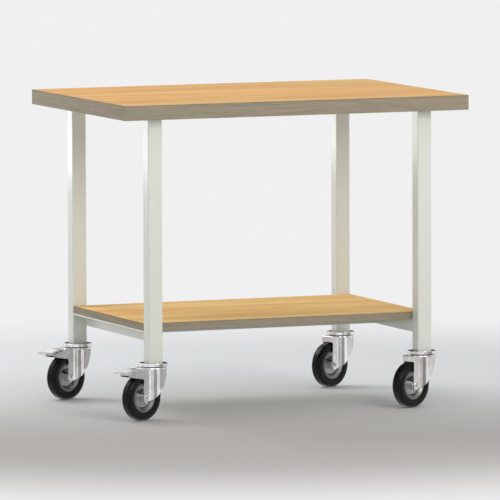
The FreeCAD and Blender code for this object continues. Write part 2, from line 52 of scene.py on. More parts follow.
# Where the floor turns into the backdrop, as distances from the table's middle.
FLOOR_FADE = (1.3, 2.5)
# Where the floor turns from its front tone, darker as painted shade, to its rear one, as depths along the
# view.
FLOOR_DEPTHS = (-0.95, 0.5)
AMBIENT = 0.66
AMBIENT_TONE = (0.94, 0.985, 1.0, 1.0)

TABLE_MIDDLE = (0.0, 0.0, 0.5)
NEUTRAL = (1.0, 1.0, 1.0)
# The lamps: name, place, the point aimed at, width, height, watts and colour.
SOFTBOXES = (
    ("key", (-1.7, 2.3, 3.1), TABLE_MIDDLE, 1.8, 1.8, 48.0, NEUTRAL),
    ("front", (0.9, -4.4, 2.1), TABLE_MIDDLE, 1.9, 1.5, 76.0, (1.0, 0.985, 0.95)),
    ("left", (-4.2, -0.6, 1.8), TABLE_MIDDLE, 0.8, 1.4, 4.0, NEUTRAL),
    ("strip", (-1.70, 3.66, 0.64), (0.42, 0.26, 0.64), 2.3, 0.66, 15.0, (0.93, 0.98, 1.0)),
)
# The grey gaps between the panels that metal mirrors: middle, half width and blur in degrees, and depth.
PANEL_GAPS = ((317.0, 23.0, 12.0, 0.66), (276.0, 14.0, 12.0, 0.34), (67.7, 20.0, 14.0, 0.92),
              (175.0, 38.0, 24.0, 0.32))
# The gaps' middle level, as a slope below the horizon, and the slopes between which they fade out.
GAP_DROP = 0.03
GAP_FADE = (0.16, 0.42)

# ---------------------------------------------------------------- sizes of what is added
PLY = 1.45 * MM
# Depths below a board's top over which its darker top plies end and the back veneer takes over.
TOP_PLY = (1.5 * MM, 4.5 * MM)
BACK_VENEER = (10.0 * MM, 12.0 * MM)
SHEET = 2.5 * MM
ANGLE_SHEET = 5.0 * MM
BOLT_WIDTH = 13.0 * MM
BOLT_RADIUS = 4.0 * MM
BOLT_HEAD = 5.0 * MM
NUT_HEIGHT = 6.5 * MM
CHAMFER_START = 0.93
CHAMFER_ANGLE = 30.0
CHAMFER_REACH = 1.2 * MM
CHAMFER_RINGS = 7
TURNED_SIDES = 72
# Distances from the bolt's tip: where the shank ends and where its thread starts.
SHANK_END = 4.0 * MM
BOLT_THREAD = 3.9 * MM
BOLT_THREAD_RINGS = 27
# How far above its seat the last ring of a bolt's head lies.
HEAD_FOOT = 0.3 * MM
# How much narrower the tip is than the thread's root.
BOLT_TIP = 0.4 * MM
NUT_BORE = 0.9 * BOLT_RADIUS
THREAD_PITCH = 1.25 * MM
THREAD_DEPTH = 0.5 * MM
# The distance between two rings that make a sharp shoulder.
SHOULDER = 0.01 * MM
SCREW_RADIUS = 3.0 * MM
SCREW_POINT = 3.0 * MM
SCREW_PITCH = 2.2 * MM
SCREW_RINGS = 60
SCREW_HEAD_RADIUS = 6.0 * MM
SCREW_HEAD_HEIGHT = 3.5 * MM
SCREW_SIDES = 48
# The rings of a screw's head, as shares of its radius: the first and last ones of the recessed middle
# and of the rim, and how many each has.
SCREW_HEAD_RINGS = ((0.04, 0.55, 10), (0.62, 1.0, 8))
SCREW_TIP_SHARE = 0.15
RECESS_WIDTH = 1.3 * MM
RECESS_REACH = 3.2 * MM
RECESS_DEPTH = 2.0 * MM
BEAD_LEG = 3.0 * MM
BEAD_RIPPLE = 1.7 * MM
BEAD_SINK = 0.3 * MM
# Rings to a ripple, points round the section, and the pools' and the bulge's shares of the leg.
BEAD_RINGS = 6
BEAD_SIDES = 9
BEAD_POOL = 0.07
BEAD_SWELL = 0.05
# How far, in radians, a pool runs ahead in the middle of the section.
BEAD_ADVANCE = 1.6
# The power of the curve that rounds off a bead's ends, and the least value of its square.
BEAD_END_POWER = 14
BEAD_END_LEAST = 0.05

# Edges sharper than these angles, in radians, stay sharp.
SHARP_EDGE = 0.6
SHARP_BEAD = 0.9

# ---------------------------------------------------------------- what the finishes measure
BEVEL_SAMPLES = 4
# A softened normal's agreement with the plain one, on flat faces and along edges.
EDGE_AGREEMENT = (0.995, 0.93)
# Distances from the wheel's middle plane: where the tyre's side walls start, and the seam's width.
SIDE_WALL = (12.5 * MM, 14.5 * MM)
SEAM = (0.1 * MM, 0.5 * MM)
# Distances from the axle: where the tread starts, the ringed band's borders, and where the rim's disc turns
# darker.
TREAD = (58.5 * MM, 61.5 * MM)
BAND_INNER = (45.5 * MM, 46.0 * MM)
BAND_OUTER = (52.0 * MM, 52.5 * MM)
RIM_DARK_RADII = (32.0 * MM, 37.0 * MM)
# The side wall's moulded rings, in radians per metre of radius.
RING_FREQUENCY = 3900.0

CORNERS = ("front_left", "front_right", "rear_left", "rear_right")


# ---------------------------------------------------------------- finishes: shader maths
def tone(red, green, blue):
    """An opaque scene colour from screen values of 0 to 255."""
    channels = [value / 255 for value in (red, green, blue)]
    return [c / 12.92 if c <= 0.04045 else ((c + 0.055) / 1.055) ** 2.4 for c in channels] + [1.0]


class Signal:
    """One output of a finish's nodes, on which sums are written as in Python."""

    def __init__(self, finish, socket):
        self.finish = finish
        self.socket = socket

    def __add__(self, other):
        return self.finish.maths("ADD", self, other)

    def __sub__(self, other):
        return self.finish.maths("SUBTRACT", self, other)

    def __rsub__(self, other):
        return self.finish.maths("SUBTRACT", other, self)

    def __mul__(self, other):
        return self.finish.maths("MULTIPLY", self, other)

    def __truediv__(self, other):
        return self.finish.maths("DIVIDE", self, other)

    def __pow__(self, other):
        return self.finish.maths("POWER", self, other)

    __radd__ = __add__
    __rmul__ = __mul__


class Nodes:
    """A node tree, and the ways in which its nodes are added."""

    def __init__(self, tree):
        self.tree = tree

    def feed(self, socket, value):
        """Links a signal to a socket, or sets the socket to a constant."""
        if isinstance(value, Signal):
            self.tree.links.new(value.socket, socket)
        else:
            socket.default_value = value

    def node(self, kind, inputs=None, output=0, **settings):
        """Adds a node, makes its settings, feeds its inputs and returns one of its outputs."""
        made = self.tree.nodes.new("ShaderNode" + kind)
        for key, value in settings.items():
            setattr(made, key, value)
        for key, value in (inputs or {}).items():
            self.feed(made.inputs[key], value)
        return Signal(self, made.outputs[output])

    def maths(self, operation, *values):
        return self.node("Math", dict(enumerate(values)), operation=operation)

    def vector_maths(self, operation, *values, output=0):
        return self.node("VectorMath", dict(enumerate(values)), output, operation=operation)

    def place(self, centre=(0, 0, 0), turn=0.0):
        """The point on the piece, about a centre and in axes turned about Z by an angle."""
        point = self.node("TexCoord", output="Object")
        if centre == (0, 0, 0) and turn == 0.0:
            return point
        moved = self.vector_maths("SUBTRACT", point, centre)
        return self.node("Mapping", {"Vector": moved, "Rotation": (0, 0, -turn)})

    def facing(self):
        """How far the surface faces along X, Y and Z, each from 0 to 1."""
        normal = self.node("TexCoord", output="Normal")
        return self.split(self.vector_maths("ABSOLUTE", normal))

    def split(self, vector):
        """The X, Y and Z of a vector, one signal each."""
        made = self.node("SeparateXYZ", {0: vector})
        outputs = made.socket.node.outputs
        return [Signal(self, outputs[k]) for k in range(3)]

    def noise(self, point, stretch, detail=3.0, roughness=0.5, distortion=0.0):
        """Cloudy noise whose spots have the given frequency, per metre, along each axis."""
        scaled = self.vector_maths("MULTIPLY", point, stretch)
        values = {"Vector": scaled, "Scale": 1.0, "Detail": detail, "Roughness": roughness,
                  "Distortion": distortion}
        return self.node("TexNoise", values, "Fac")

    def step(self, value, low, high):
        """0 below low, 1 above high, and smooth between them."""
        return self.node("MapRange", {0: value, 1: low, 2: high, 3: 0.0, 4: 1.0},
                         interpolation_type="SMOOTHSTEP")

    def mix(self, factor, first, second):
        """The first colour where the factor is 0, the second where it is 1."""
        return self.node("Mix", {0: factor, 6: first, 7: second}, 2, data_type="RGBA")

    def scaled(self, colour, factor):
        """A colour made darker or lighter by a factor that changes over the surface."""
        return self.node("VectorMath", {0: colour, "Scale": factor}, operation="SCALE")

    def ray(self, *kinds):
        """1 for rays of the given kinds, such as Camera or Glossy, and 0 for the others."""
        found = 0.0
        for kind in kinds:
            found = self.maths("MAXIMUM", found, self.node("LightPath", output="Is %s Ray" % kind))
        return found


class Finish(Nodes):
    """A node material: a principled shader, with the nodes that feed it."""

    def __init__(self, name, **constants):
        self.material = bpy.data.materials.new(name)
        self.material.use_nodes = True
        super().__init__(self.material.node_tree)
        self.shader = self.tree.nodes["Principled BSDF"]
        for key, value in constants.items():
            self.shader.inputs[key.replace("_", " ")].default_value = value

    def edges(self, radius):
        """1 along sharp edges within a radius, 0 on flat faces."""
        rounded = self.node("Bevel", {"Radius": radius}, samples=BEVEL_SAMPLES)
        plain = self.node("NewGeometry", output="Normal")
        agreement = self.vector_maths("DOT_PRODUCT", rounded, plain, output="Value")
        return self.step(agreement, *EDGE_AGREEMENT)

    def finish(self, colour, roughness, height=None, depth=0.0, soften=0.0):
        """Feeds the shader: colour, roughness and the relief, a height from 0 to 1 times a depth."""
        self.feed(self.shader.inputs["Base Color"], colour)
        self.feed(self.shader.inputs["Roughness"], roughness)
        normal = self.node("Bevel", {"Radius": soften}, samples=BEVEL_SAMPLES) if soften else None
        if height is not None:
            values = {"Height": height, "Distance": depth}
            if normal:
                values["Normal"] = normal
            normal = self.node("Bump", values)
        if normal:
            self.feed(self.shader.inputs["Normal"], normal)
        return self.material


BACKDROP = tone(240, 240, 241)
FLOOR_FRONT_SHADE = tone(182, 177, 173)
FLOOR_REAR = tone(226, 226, 227)
ZINC_TONES = tone(248, 247, 246), tone(226, 223, 221)
BACK_VENEER_SHADE_TONES = tone(176, 168, 150), tone(152, 142, 124)


# ---------------------------------------------------------------- finishes of the table
def beech_multiplex(name, top, pale=1.0):
    """Beech veneer on the faces, and on the edges the plies, grain and end grain by turns.

    Top is the board's upper face. Its underside has a plainer, grey back veneer, also darkened as painted
    shade under the board, and pale lightens the veneers as painted light, for a board that gets less light.
    """
    f = Finish(name, Specular_IOR_Level=0.14)
    point = f.place()
    x, _, z = f.split(point)
    facing_x, _, facing_z = f.facing()

    cloud = f.noise(point, (0.55, 4.2, 4.2), 2.0)
    figure = f.noise(point, (1.6, 17.0, 17.0), 3.0, 0.55, 0.6)
    streak = f.noise(point, (4.5, 150.0, 150.0), 4.0, 0.6, 0.2)
    pore = f.noise(point, (70.0, 900.0, 900.0), 2.0, 0.5)
    warm = f.mix(f.step(cloud, 0.38, 0.62), tone(235, 199, 126), tone(242, 186, 120))
    veneer = f.mix(f.step(figure, 0.36, 0.70) * (0.85 - x * 0.5), warm, tone(220, 163, 92))
    # pale lightens the veneer as painted light, for the shelf, which the worktop keeps light from.
    shade = pale * (0.90 + streak * 0.2 - f.step(pore, 0.60, 0.72) * 0.10)
    # The underside's back veneer: a plainer grade, and darker and greyer as painted shade under the board.
    veneer = f.scaled(f.mix(f.step(top - z, *BACK_VENEER), veneer, f.mix(figure, *BACK_VENEER_SHADE_TONES)), shade)

    layer = (top - z) / PLY
    number = f.maths("FLOOR", layer)
    within = layer - number
    parity = f.maths("MODULO", number, 2.0)
    across = f.step(facing_x, 0.5, 0.6)
    end_grain = f.maths("ABSOLUTE", parity - across)
    joint = f.maths("ABSOLUTE", within - 0.5)
    glue = f.step(joint, 0.40, 0.49)
    ply_tone = f.noise(f.vector_maths("ADD", point, f.node("CombineXYZ", {2: number * 0.37})),
                       (7.0, 7.0, 60.0), 3.0, 0.6)
    grain = f.noise(point, (9.0, 9.0, 240.0), 3.0, 0.65)
    speckle = f.noise(point, (1500.0, 1500.0, 1500.0), 1.0)
    drift = f.step(f.noise(point, (4.0, 4.0, 130.0), 3.0, 0.6), 0.36, 0.64)
    edge = f.mix(end_grain, f.mix(drift, tone(158, 153, 131), tone(170, 152, 134)),
                 f.mix(drift, tone(128, 124, 104), tone(141, 123, 108)))
    edge_shade = (0.50 + ply_tone * 0.34 + grain * 0.70 - glue * 0.16 - end_grain * (speckle - 0.5) * 0.25
                  - (1.0 - f.step(top - z, *TOP_PLY)) * 0.16)
    edge = f.scaled(edge, edge_shade)

    on_face = f.step(facing_z, 0.45, 0.55)
    colour = f.mix(on_face, edge, veneer)
    roughness = 0.62 - on_face * 0.12 + streak * 0.06
    height = on_face * streak * 0.25 + (1.0 - on_face) * (end_grain * 0.35 + glue * -0.3 + speckle * 0.3)
    return f.finish(colour, roughness, height, 0.12 * MM, 0.6 * MM)


def powder_coat():
    """Light grey powder coat: a fine orange peel, slightly uneven, thinner along the edges."""
    f = Finish("frame_paint", Specular_IOR_Level=0.4)
    point = f.place()
    cloud = f.noise(point, (5.0, 5.0, 3.0), 3.0)
    peel = f.noise(point, (420.0, 420.0, 420.0), 2.0, 0.45)
    dust = f.noise(point, (90.0, 90.0, 40.0), 4.0, 0.65)
    thin = f.edges(1.2 * MM) * f.step(f.noise(point, (60.0, 60.0, 25.0), 4.0, 0.7), 0.5, 0.72)
    base = f.mix(cloud, tone(219, 220, 210), tone(225, 226, 217))
    base = f.mix(f.step(dust, 0.55, 0.8) * 0.25, base, tone(196, 194, 184))
    colour = f.mix(thin * 0.45, base, tone(168, 168, 162))
    roughness = 0.10 + cloud * 0.04 + dust * 0.06
    return f.finish(colour, roughness, peel, 0.015 * MM, 0.8 * MM)


def zinc_sheet(name, light, dark, rough, wear_and_shade_tone=tone(235, 234, 230), wear_and_shade_share=0.35, oiled_and_shaded=None):
    """Zinc plate on pressed steel: drawn streaks running up and down, mottled, with worn edges; a dark edge
    tone paints shade along the edges instead.

    Where a swivel axis, a radius and a height are given, what lies inside and above them is dark and matt:
    oil, and painted shade for the hollow under the leg.
    """
    f = Finish(name, Metallic=1.0)
    point = f.place()
    streak = f.noise(point, (26.0, 26.0, 5.0), 3.0, 0.55, 0.4)
    fine = f.noise(point, (380.0, 380.0, 40.0), 3.0, 0.6)
    mottle = f.noise(point, (70.0, 70.0, 70.0), 4.0, 0.6)
    tint = f.noise(point, (18.0, 18.0, 18.0), 2.0)
    base = f.mix(f.step(streak, 0.38, 0.66), light, dark)
    base = f.mix(f.step(tint, 0.55, 0.75) * 0.35, base, tone(198, 186, 160))
    base = f.scaled(base, 0.9 + mottle * 0.12 + fine * 0.08)
    # Edges take the edge tone: wear where it is near the zinc's own tone, painted shade where it is dark, as
    # on the pedal.
    edge_wear_and_shade = f.edges(0.8 * MM)
    colour = f.mix(edge_wear_and_shade * wear_and_shade_share, base, wear_and_shade_tone)
    roughness = rough + mottle * 0.12 - fine * 0.06
    if oiled_and_shaded:
        centre, radius, height = oiled_and_shaded
        u, v, z = f.split(f.place(centre))
        inside = 1.0 - f.step((u * u + v * v) ** 0.5, radius + 0.2 * MM, radius + 0.6 * MM)
        oil = inside * f.step(z, height - 0.6 * MM, height - 0.3 * MM)
        # Painted shade: the dish's inside under the leg's foot is dark and matt for the hollow's shade as
        # well as its oil.
        colour = f.mix(oil * 0.96, colour, tone(40, 38, 36))
        roughness = roughness + oil * 0.6
        f.feed(f.shader.inputs["Metallic"], 1.0 - oil)
    return f.finish(colour, roughness, fine, 0.02 * MM, 0.5 * MM)


def rim_steel(corner):
    """The wheel's discs: duller zinc with the rings that pressing leaves about the axle."""
    f = Finish("rim_steel_" + corner, Metallic=1.0)
    centre, turn = wheel_frame(corner)
    u, _, z = f.split(f.place(centre, turn))
    radius = (u * u + z * z) ** 0.5
    ring_point = f.node("CombineXYZ", {0: radius, 1: f.maths("ARCTAN2", z, u) * 0.004})
    rings = f.noise(ring_point, (900.0, 900.0, 1.0), 2.0, 0.6)
    mottle = f.noise(f.place(), (60.0, 60.0, 60.0), 4.0, 0.6)
    # Darker and rougher towards the disc's outer, dished edge.
    rim_darkening = f.step(radius, *RIM_DARK_RADII) * (0.7 + f.step(mottle, 0.4, 0.7) * 0.3)
    base = f.mix(mottle, tone(190, 191, 191), tone(156, 157, 157))
    base = f.mix(rim_darkening * 0.8, base, tone(78, 76, 72))
    colour = f.scaled(base, 0.92 + rings * 0.16)
    roughness = 0.2 + rings * 0.08 + mottle * 0.08 + rim_darkening * 0.15
    return f.finish(colour, roughness, rings, 0.03 * MM, 0.4 * MM)


def tyre_rubber(corner):
    """Black rubber: moulded rings on the side walls, a seam round the tread, and dust where it rolls."""
    f = Finish("tyre_rubber_" + corner, Specular_IOR_Level=0.16)
    centre, turn = wheel_frame(corner)
    point = f.place(centre, turn)
    u, v, z = f.split(point)
    radius = (u * u + z * z) ** 0.5
    side = f.step(f.maths("ABSOLUTE", v), *SIDE_WALL)
    tread = f.step(radius, *TREAD)
    ringed = f.step(radius, *BAND_INNER) * (1.0 - f.step(radius, *BAND_OUTER))
    ring = f.maths("SINE", radius * RING_FREQUENCY) * ringed
    seam = 1.0 - f.step(f.maths("ABSOLUTE", v), *SEAM)
    cloud = f.noise(f.place(), (45.0, 45.0, 45.0), 4.0, 0.65)
    grit = f.noise(f.place(), (900.0, 900.0, 900.0), 2.0, 0.5)
    dust = tread * f.step(cloud, 0.42, 0.75) * 0.55 + f.step(grit, 0.66, 0.74) * tread * 0.35
    # Brownish patches on the side walls: rubber bloom, and partly a painted sheen.
    bloom_and_sheen = side * f.step(cloud, 0.3, 0.8) * 0.25
    base = f.mix(bloom_and_sheen, tone(9, 9, 10), tone(50, 44, 41))
    colour = f.mix(dust * 0.28, base, tone(62, 58, 53))
    roughness = 0.22 + cloud * 0.10 + dust * 0.25
    height = ring * side * 0.5 + seam * 0.5 + grit * 0.12
    return f.finish(colour, roughness, height, 0.18 * MM)


def ground_steel():
    """Bearing steel, ground and oiled."""
    f = Finish("bearing_steel", Metallic=1.0)
    point = f.place()
    fine = f.noise(point, (500.0, 500.0, 500.0), 2.0)
    oil = f.noise(point, (60.0, 60.0, 60.0), 3.0)
    colour = f.mix(f.step(oil, 0.45, 0.7), tone(196, 196, 198), tone(160, 150, 132))
    return f.finish(colour, 0.16 + fine * 0.12)


def brake_rubber():
    """The brake shoe's rubber: matt, with grit and pale dust."""
    f = Finish("brake_rubber")
    point = f.place()
    cloud = f.noise(point, (80.0, 80.0, 80.0), 4.0)
    grit = f.noise(point, (1200.0, 1200.0, 1200.0), 2.0)
    colour = f.mix(f.step(cloud, 0.4, 0.8), tone(30, 30, 30), tone(66, 63, 58))
    return f.finish(colour, 0.6 + grit * 0.15, grit, 0.08 * MM)


# ---------------------------------------------------------------- mesh helpers
def add_object(name, data):
    """An object of the scene that holds the given mesh, camera or lamp."""
    made = bpy.data.objects.new(name, data)
    bpy.context.scene.collection.objects.link(made)
    return made


def closed_grid(points, cap_end=True):
    """A grid's points and faces: points[i, j] is ring i at angle j, and each ring closes on itself.

    The first ring is capped, and so is the last unless cap_end is off.
    """
    rings, count, _ = points.shape
    i, j = np.meshgrid(np.arange(rings - 1), np.arange(count), indexing="ij")
    following = (j + 1) % count
    quads = np.stack([i * count + j, i * count + following,
                      (i + 1) * count + following, (i + 1) * count + j], axis=-1).reshape(-1, 4)
    faces = quads.tolist()
    faces.append(list(range(count))[::-1])
    if cap_end:
        faces.append(list(range((rings - 1) * count, rings * count)))
    return points.reshape(-1, 3), faces


def mesh_piece(name, parts, body, material, sharp=SHARP_EDGE):
    """A piece from several closed surfaces, riding on a body, smooth but for its sharp edges."""
    points, faces, start = [], [], 0
    for some_points, some_faces in parts:
        points.append(some_points)
        faces += [[k + start for k in face] for face in some_faces]
        start += len(some_points)
    mesh = bpy.data.meshes.new(name)
    mesh.from_pydata(np.concatenate(points).tolist(), [], faces)
    mesh.validate()
    mesh.polygons.foreach_set("use_smooth", np.ones(len(mesh.polygons), bool))
    mesh.set_sharp_from_angle(angle=sharp)
    mesh.materials.append(material)
    piece = add_object(name, mesh)
    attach(piece, body)
    return piece


def turned_grid(stations, radius, axes, origin):
    """Rings about an axis: at each station along it the radius is a function of angle and station."""
    angle = np.linspace(0, 2 * np.pi, TURNED_SIDES, endpoint=False)
    first, second, along = (np.array(axis) for axis in axes)
    s, a = np.meshgrid(stations, angle, indexing="ij")
    r = radius(a, s)
    return (np.array(origin) + s[..., None] * along
            + (r * np.cos(a))[..., None] * first + (r * np.sin(a))[..., None] * second)


# ---------------------------------------------------------------- places taken from the frame
def joint(name):
    """A joint's point and its axis, both in the frame's axes."""
    found = next(j for j in frame["joints"] if j["name"] == name)
    return np.array(found["pos_m"], float), np.array(found["axis"], float)


def wheel_frame(corner):
    """A wheel's centre, and the angle about Z of the direction in which its caster trails."""
    centre, axis = joint("wheel_spin_" + corner)
    return tuple(centre), math.atan2(-axis[0], axis[1])


def caster_axes(corner):
    """Unit vectors of a caster: along the way it trails, up, and along its wheel's axle."""
    _, axis = joint("wheel_spin_" + corner)
    return (axis[1], -axis[0], 0.0), (0.0, 0.0, 1.0), tuple(axis)


def node_points(node):
    """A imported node's vertices, one row each."""
    mesh = frame["nodes"][node].data
    flat = np.empty(len(mesh.vertices) * 3)
    mesh.vertices.foreach_get("co", flat)
    return flat.reshape(-1, 3)


def middles(values, gap):
    """The middle of each run of values, where runs lie further apart than a gap."""
    ordered = np.sort(values)
    runs = np.split(ordered, np.flatnonzero(np.diff(ordered) > gap) + 1)
    return [(run[0] + run[-1]) / 2 for run in runs]


def screw_places(node):
    """The axes of a group of upright screws: their rows along Y in each column along X."""
    points = node_points(node)
    gap = 2 * SCREW_HEAD_RADIUS
    places = []
    for x in middles(points[:, 0], gap):
        column = points[np.abs(points[:, 0] - x) < gap]
        places += [(x, y) for y in middles(column[:, 1], gap)]
    return places


# ---------------------------------------------------------------- fasteners
def hexagon_radius(angle, across_flats):
    """Half the width across flats over the cosine of the angle from the nearest flat's middle."""
    sixth = math.pi / 3
    return across_flats / 2 / np.cos(angle % sixth - sixth / 2)


def chamfered(angle, depth, across_flats):
    """A hexagon's radius cut by a cone that starts inside the flats at a face."""
    cone = CHAMFER_START * across_flats / 2 + np.maximum(depth, 0) / math.tan(math.radians(CHAMFER_ANGLE))
    return np.minimum(hexagon_radius(angle, across_flats), cone)


def bolt_surface(corner, low, high):
    """A bolt along the axle: chamfered head, shank, then a threaded tip that ends in a small cone."""
    origin, _ = joint("wheel_spin_" + corner)
    seat = high - BOLT_HEAD
    stations = np.concatenate([
        np.linspace(high, high - CHAMFER_REACH, CHAMFER_RINGS), [seat + HEAD_FOOT, seat],
        [seat - SHOULDER, low + SHANK_END], np.linspace(low + BOLT_THREAD, low, BOLT_THREAD_RINGS)])[::-1]

    def radius(angle, s):
        head = chamfered(angle, high - s, BOLT_WIDTH)
        phase = 2 * np.pi * s / THREAD_PITCH + angle
        thread = BOLT_RADIUS - THREAD_DEPTH * (0.5 + 0.5 * np.cos(phase)) * (s < low + BOLT_THREAD)
        cone = BOLT_RADIUS - THREAD_DEPTH - BOLT_TIP + (s - low)
        return np.where(s > seat - SHOULDER / 2, head, np.minimum(thread, cone))
    return closed_grid(turned_grid(stations, radius, caster_axes(corner), origin))


def nut_surface(corner, outer, inner):
    """A nut along the axle, chamfered at both faces; its ends run in to the bolt's thread."""
    origin, _ = joint("wheel_spin_" + corner)
    stations = np.concatenate([[outer], np.linspace(outer, outer + CHAMFER_REACH, CHAMFER_RINGS),
                               np.linspace(inner - CHAMFER_REACH, inner, CHAMFER_RINGS), [inner]])
    ends = np.isin(np.arange(len(stations)), (0, len(stations) - 1))

    def radius(angle, s):
        shape = np.minimum(chamfered(angle, s - outer, BOLT_WIDTH), chamfered(angle, inner - s, BOLT_WIDTH))
        return np.where(ends[:, None], NUT_BORE, shape)
    return closed_grid(turned_grid(stations, radius, caster_axes(corner), origin))


def axle_fasteners(corner, material):
    """The bolt and nut that stand for a caster's packed ones, as long and as wide as they are."""
    origin, axis = joint("wheel_spin_" + corner)
    along = (node_points("axle_bolt_" + corner) - origin) @ axis
    wheel = (node_points("axle_sleeve_" + corner) - origin) @ axis
    inner = wheel.min() - SHEET
    body = "swivel_" + corner
    bolt = mesh_piece("hex_bolt_" + corner, [bolt_surface(corner, along.min(), along.max())],
                      body, material)
    nut = mesh_piece("hex_nut_" + corner, [nut_surface(corner, inner - NUT_HEIGHT, inner)],
                     body, material)
    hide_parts("axle_bolt_" + corner)
    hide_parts("axle_bolt_" + corner)


def pan_screw(x, y, seat, tip):
    """A screw pointing up: a domed head with a cross recess below its seat, and a pointed thread."""
    angle = np.linspace(0, 2 * np.pi, SCREW_SIDES, endpoint=False)
    share = np.concatenate([np.linspace(*rings) for rings in SCREW_HEAD_RINGS])
    r, a = np.meshgrid(share * SCREW_HEAD_RADIUS, angle, indexing="ij")
    px, py = np.abs(r * np.cos(a)), np.abs(r * np.sin(a))
    arm = np.minimum(px, py) < RECESS_WIDTH / 2
    reach = np.clip(1 - np.maximum(px, py) / RECESS_REACH, 0, 1)
    dome = SCREW_HEAD_HEIGHT * np.sqrt(np.clip(1 - (r / SCREW_HEAD_RADIUS) ** 4, 0, 1))
    cut = dome - RECESS_DEPTH * np.minimum(1, 3 * reach)
    head = np.stack([x + r * np.cos(a), y - r * np.sin(a),
                     seat - np.where(arm & (reach > 0), cut, dome)], axis=-1)
    point = tip - SCREW_POINT
    heights = np.concatenate([np.linspace(seat + SHOULDER, point, SCREW_RINGS), [point, tip]])
    s, a = np.meshgrid(heights, angle, indexing="ij")
    thread = SCREW_RADIUS - THREAD_DEPTH * (0.5 + 0.5 * np.cos(2 * np.pi * s / SCREW_PITCH - a))
    taper = np.clip((tip - s) / SCREW_POINT, SCREW_TIP_SHARE, 1)
    shank = np.stack([x + thread * taper * np.cos(a), y - thread * taper * np.sin(a), s], axis=-1)
    return closed_grid(np.concatenate([head, shank]))


def pan_screws(node, material):
    """The screws of one packed group, each on its own axis."""
    low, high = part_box(node)
    seat = low.z + SCREW_HEAD_HEIGHT
    parts = [pan_screw(x, y, seat, high.z) for x, y in screw_places(node)]
    screws = mesh_piece("cross_" + node, parts, "frame", material)
    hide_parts(node)


# ---------------------------------------------------------------- weld beads
def bead(start, end, first, second):
    """A fillet weld along a line between two faces, given the directions in which they run from it.

    Its section is a quarter round that bulges a little; overlapping pools ripple along it.
    """
    start, end, first, second = (np.array(given) for given in (start, end, first, second))
    length = np.linalg.norm(end - start)
    along = np.linspace(0, 1, int(length / BEAD_RIPPLE * BEAD_RINGS) + 2)
    turn = np.linspace(0, np.pi / 2, BEAD_SIDES)
    t, a = np.meshgrid(along, turn, indexing="ij")
    pool = 2 * np.pi * (t * length / BEAD_RIPPLE) + BEAD_ADVANCE * np.sin(2 * a)
    ends = np.sqrt(np.clip(1 - (2 * np.abs(t - 0.5)) ** BEAD_END_POWER, BEAD_END_LEAST, 1))
    size = BEAD_LEG * ends * (1 + BEAD_POOL * np.sin(pool) + BEAD_SWELL * np.sin(2 * a))
    line = start + t[..., None] * (end - start)
    skin = line + (size * np.cos(a))[..., None] * first + (size * np.sin(a))[..., None] * second
    root = line[:, :1] - BEAD_SINK * (first + second)
    points = np.concatenate([skin, root], axis=1)
    sign = np.dot(np.cross(first, second), end - start)
    return closed_grid(points if sign < 0 else points[:, ::-1])


def weld_beads(material):
    """The frame's welds: rails to legs, cross rail to rails, and legs to the bars on top."""
    parts = []
    inside = {}
    for side, sign in (("left", -1), ("right", 1)):
        low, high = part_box("shelf_rail_" + side)
        outer_x, inner_x = (low.x, high.x) if sign < 0 else (high.x, low.x)
        inside[side] = inner_x
        web_x = inner_x + sign * ANGLE_SHEET
        under = high.z - ANGLE_SHEET
        for y, away in ((low.y, 1), (high.y, -1)):
            parts.append(bead((web_x, y, low.z + BEAD_LEG), (web_x, y, under - BEAD_LEG),
                              (sign, 0, 0), (0, away, 0)))
            parts.append(bead((web_x + sign * BEAD_LEG, y, under), (outer_x - sign * BEAD_LEG, y, under),
                              (0, 0, -1), (0, away, 0)))
        for leg, away in (("front_", 1), ("rear_", -1)):
            leg_low, leg_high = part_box("leg_" + leg + side)
            y = leg_high.y if away > 0 else leg_low.y
            parts.append(bead((leg_low.x + BEAD_LEG, y, leg_high.z), (leg_high.x - BEAD_LEG, y, leg_high.z),
                              (0, 0, -1), (0, away, 0)))
    low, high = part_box("shelf_cross_rail")
    for side, sign in (("left", -1), ("right", 1)):
        for y, toward in ((low.y, -1), (low.y + ANGLE_SHEET, 1)):
            top = high.z - (ANGLE_SHEET if toward > 0 else 0) - BEAD_LEG
            parts.append(bead((inside[side], y, low.z + BEAD_LEG), (inside[side], y, top),
                              (-sign, 0, 0), (0, toward, 0)))
    mesh_piece("weld_beads", parts, "frame", material, SHARP_BEAD)


# ---------------------------------------------------------------- camera, lights and floor
def set_camera():
    """The view that the table is judged from: yaw to the right of +Y, pitch down, then a slight roll."""
    yaw, pitch, roll = (math.radians(a) for a in (CAMERA_YAW, CAMERA_PITCH, CAMERA_ROLL))
    back = Vector((-math.sin(yaw) * math.cos(pitch), -math.cos(yaw) * math.cos(pitch), math.sin(pitch)))
    right = Vector((math.cos(yaw), -math.sin(yaw), 0))
    up = back.cross(right)
    turned_right = right * math.cos(roll) + up * math.sin(roll)
    turned_up = up * math.cos(roll) - right * math.sin(roll)
    data = bpy.data.cameras.new("camera")
    data.sensor_width = SENSOR_WIDTH
    data.lens = CAMERA_FOCAL / FRAME_PIXELS * SENSOR_WIDTH
    data.shift_x = FRAME_OFFSET / FRAME_PIXELS
    data.clip_start, data.clip_end = CAMERA_REACH
    camera = add_object("camera", data)
    rotation = Matrix((turned_right, turned_up, back)).transposed().to_4x4()
    camera.matrix_world = Matrix.Translation(Vector(CAMERA_TARGET) + back * CAMERA_DISTANCE) @ rotation
    bpy.context.scene.camera = camera


def softbox(name, place, aim, width, height, power, colour):
    """A lit rectangle that the camera doesn't see."""
    data = bpy.data.lights.new(name, "AREA")
    data.shape = "RECTANGLE"
    data.size = width
    data.size_y = height
    data.energy = power
    data.color = colour
    lamp = add_object(name, data)
    lamp.location = place
    lamp.rotation_euler = (Vector(aim) - Vector(place)).to_track_quat("-Z", "Y").to_euler()
    lamp.visible_camera = False


